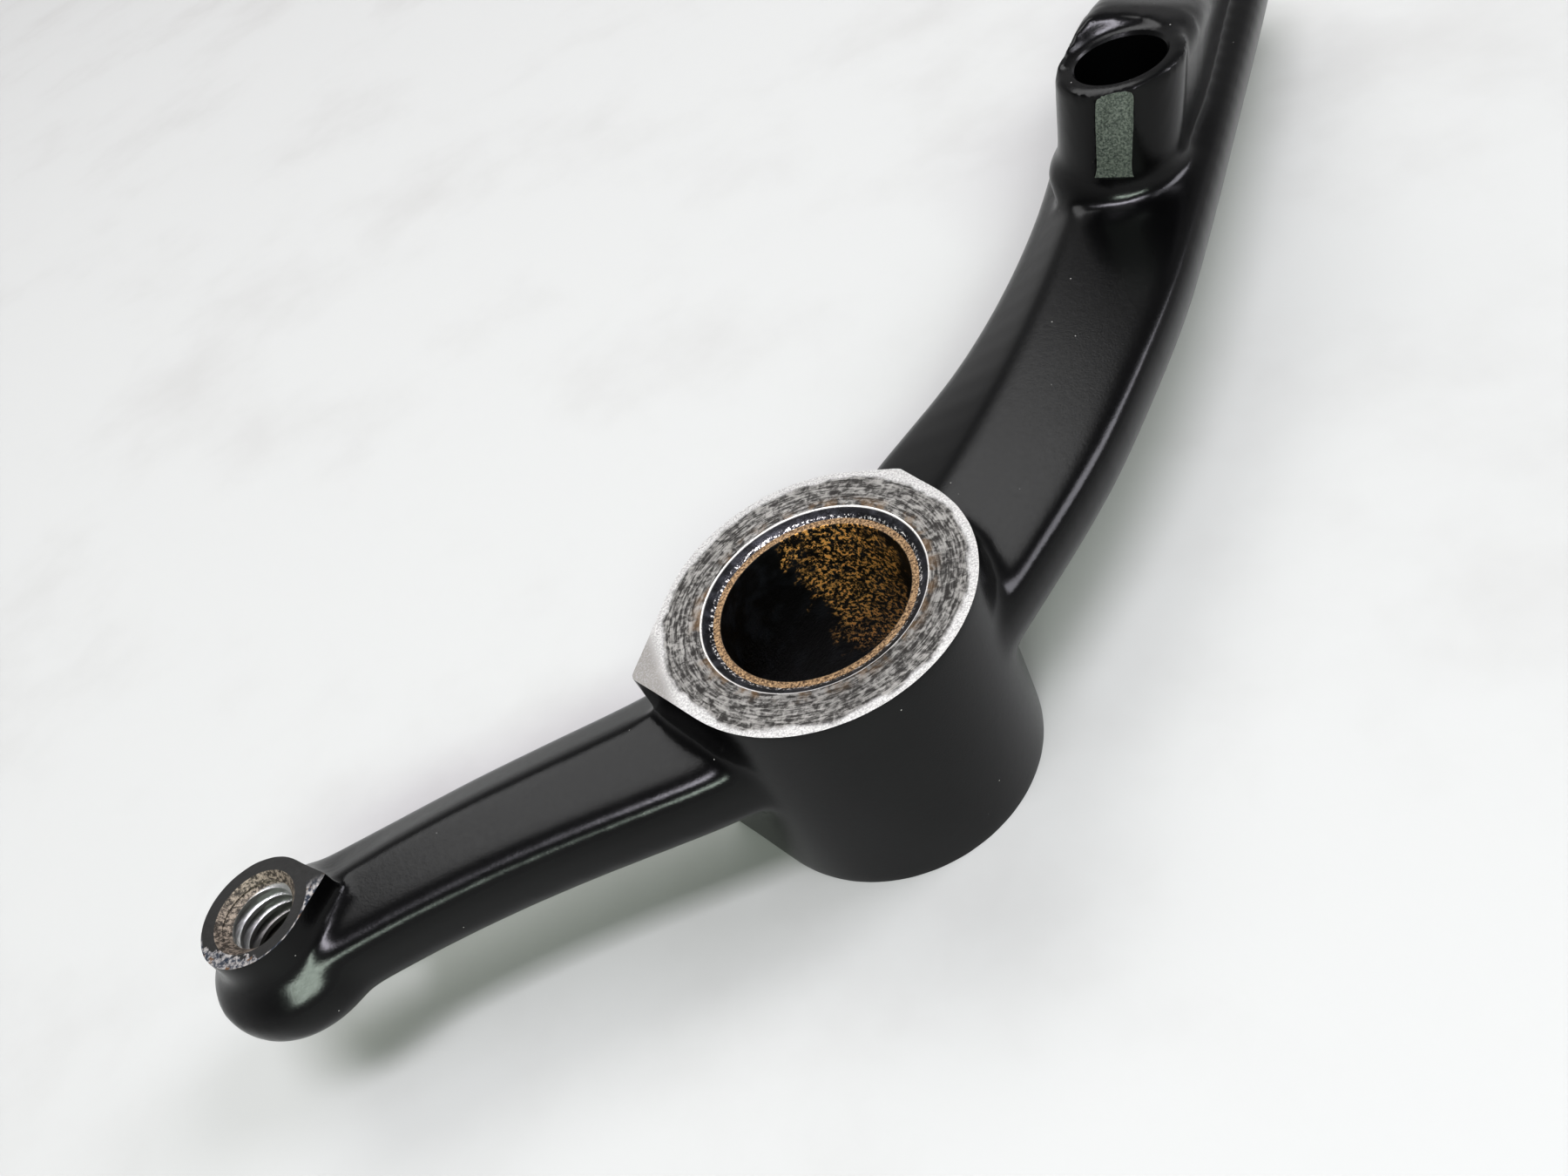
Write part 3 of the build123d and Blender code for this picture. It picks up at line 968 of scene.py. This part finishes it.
counts = [0] * len(finishes)
for face in forging.data.polygons:
    face.material_index = finish_of(face)
    counts[face.material_index] += 1
print("faces per finish", counts)
bush.data.materials.clear()
bush.data.materials.append(bronze_finish)
crease = radians(34)
for piece in (forging, bush):
    only(piece)
    bpy.ops.object.shade_smooth_by_angle(angle=crease)

# %% [markdown]
# ## On the frame
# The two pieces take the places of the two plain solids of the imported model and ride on
# its only body. Nothing in a bare lever moves against anything else.

# %% Ride on the frame
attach(forging, "root")
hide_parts("lever")
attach(bush, "root")
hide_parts("pivot_bush")
for piece in (forging, bush):
    triangles = sum(len(f.vertices) - 2 for f in piece.data.polygons)
    print(piece.name, triangles, "triangles")

# %% [markdown]
# ## Floor, light and camera
# The lever stands on its hub on a pale, slightly smudged table. Four large windows light
# it, from overhead, in front, the right and behind. A glossy black coat shows them as
# soft bright shapes, so where they stand and how wide they are decides where its
# highlights run. The sky between them is dim above and brighter at the horizon.

# %% Floor
bpy.ops.object.select_all(action="DESELECT")
bpy.ops.mesh.primitive_grid_add(x_subdivisions=8, y_subdivisions=8, size=4.0, location=(0, 0, cad_low.z))
table = name_new("table")
table_top = Finish("pale_table")
smudge = table_top.ramp(table_top.noise(0.02, 5.0, 0.6), 0.45, 0.75)
# The table's own colour is a middle grey. The windows make it look nearly white.
table_colour = table_top.mix(smudge, (0.405, 0.402, 0.392), (0.375, 0.369, 0.359))
table.data.materials.append(table_top.end(table_colour, 0.5, 0.0))

# %% Light
world = bpy.data.worlds.new("studio")
bpy.context.scene.world = world
world.use_nodes = True
sky = world.node_tree
sky_way = sky.nodes.new("ShaderNodeTexCoord")
sky_parts = sky.nodes.new("ShaderNodeSeparateXYZ")
sky_height = sky.nodes.new("ShaderNodeMapRange")
sky_height.interpolation_type = "SMOOTHSTEP"
sky_height.inputs["From Min"].default_value = 0.05
sky_height.inputs["From Max"].default_value = 0.75
sky_height.inputs["To Min"].default_value = 0.90
sky_height.inputs["To Max"].default_value = 0.20
sky.links.new(sky_way.outputs["Generated"], sky_parts.inputs[0])
sky.links.new(sky_parts.outputs["Z"], sky_height.inputs["Value"])
sky.links.new(sky_height.outputs["Result"], sky.nodes["Background"].inputs["Strength"])
sky.nodes["Background"].inputs["Color"].default_value = (1.0, 1.0, 1.0, 1.0)


def softbox(name, turn, height, half_size, brightness, colour):
    """A rectangular light seen from the lever at two angles, with its half size in degrees."""
    reach = 2.5
    turn, height = radians(turn), radians(height)
    way = Vector((cos(turn) * cos(height), sin(turn) * cos(height), sin(height)))
    data = bpy.data.lights.new(name, "AREA")
    data.shape = "RECTANGLE"
    data.size, data.size_y = (2 * reach * tan(radians(half)) for half in half_size)
    data.energy = brightness * pi * data.size * data.size_y
    data.color = colour
    lamp = bpy.data.objects.new(name, data)
    bpy.context.scene.collection.objects.link(lamp)
    lamp.location = way * reach
    lamp.rotation_mode = "QUATERNION"
    lamp.rotation_quaternion = (-way).to_track_quat("-Z", "Y")


studio = (
    ("overhead window", 265, 79, (18, 7), 20.0, (0.94, 0.92, 1.0)),
    ("front window", 263, 39, (18, 6), 19.0, (0.88, 1.0, 0.90)),
    ("right window", 2, 44, (12, 13), 9.0, (0.94, 0.93, 1.0)),
    ("back window", 95, 54, (22, 12), 3.6, (1.0, 1.0, 1.0)),
)
for lamp in studio:
    softbox(*lamp)

# %% [markdown]
# ## Camera
# It looks down at the hub with a fairly wide lens from close by, and is rolled so that
# the short arm runs down to the left.

# %% Camera
roll = radians(-29.5)
camera = bpy.data.objects.new("camera", bpy.data.cameras.new("camera"))
bpy.context.scene.collection.objects.link(camera)
bpy.context.scene.camera = camera
camera.data.sensor_width = 36.0
camera.data.lens = 30.0
camera.data.clip_start = 0.005
camera.location = (0.001684, -0.088667, 0.097411)
aim = Vector((-0.00262, 0.01641, 0.0)) - camera.location
camera.rotation_mode = "QUATERNION"
camera.rotation_quaternion = aim.to_track_quat("-Z", "Y") @ Quaternion((0, 0, 1), roll)
axes = camera.rotation_quaternion.to_matrix()
print("camera right", [round(v, 5) for v in axes.col[0]], "up", [round(v, 5) for v in axes.col[1]])
bpy.context.scene.view_settings.view_transform = "Standard"
bpy.context.scene.view_settings.gamma = 0.77
